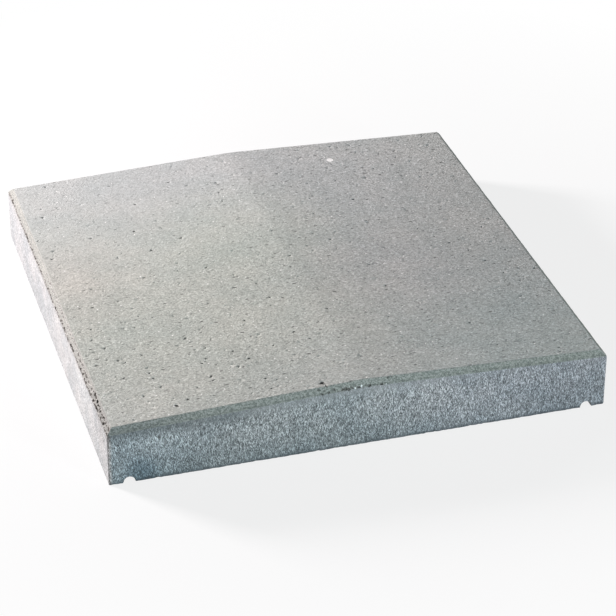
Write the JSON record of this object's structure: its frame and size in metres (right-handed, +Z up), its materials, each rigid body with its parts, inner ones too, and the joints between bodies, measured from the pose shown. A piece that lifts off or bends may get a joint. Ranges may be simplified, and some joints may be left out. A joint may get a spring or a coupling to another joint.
{
  "type": "pillar cap",
  "caption": "Square cast concrete cap for a gate pier, falling both ways from a low ridge, with drip grooves under the eaves.",
  "frame": {"origin": "centre of the flat bed, on the surface that the cap lies on", "axes": "+Z up, Y along the ridge with the front gable at -Y, X across the ridge"},
  "size_m": [0.533, 0.533, 0.0749],
  "materials": {
    "concrete": "matte"
  },
  "bodies": {
    "root": {"pillar_cap": "concrete"}
  },
  "joints": []
}
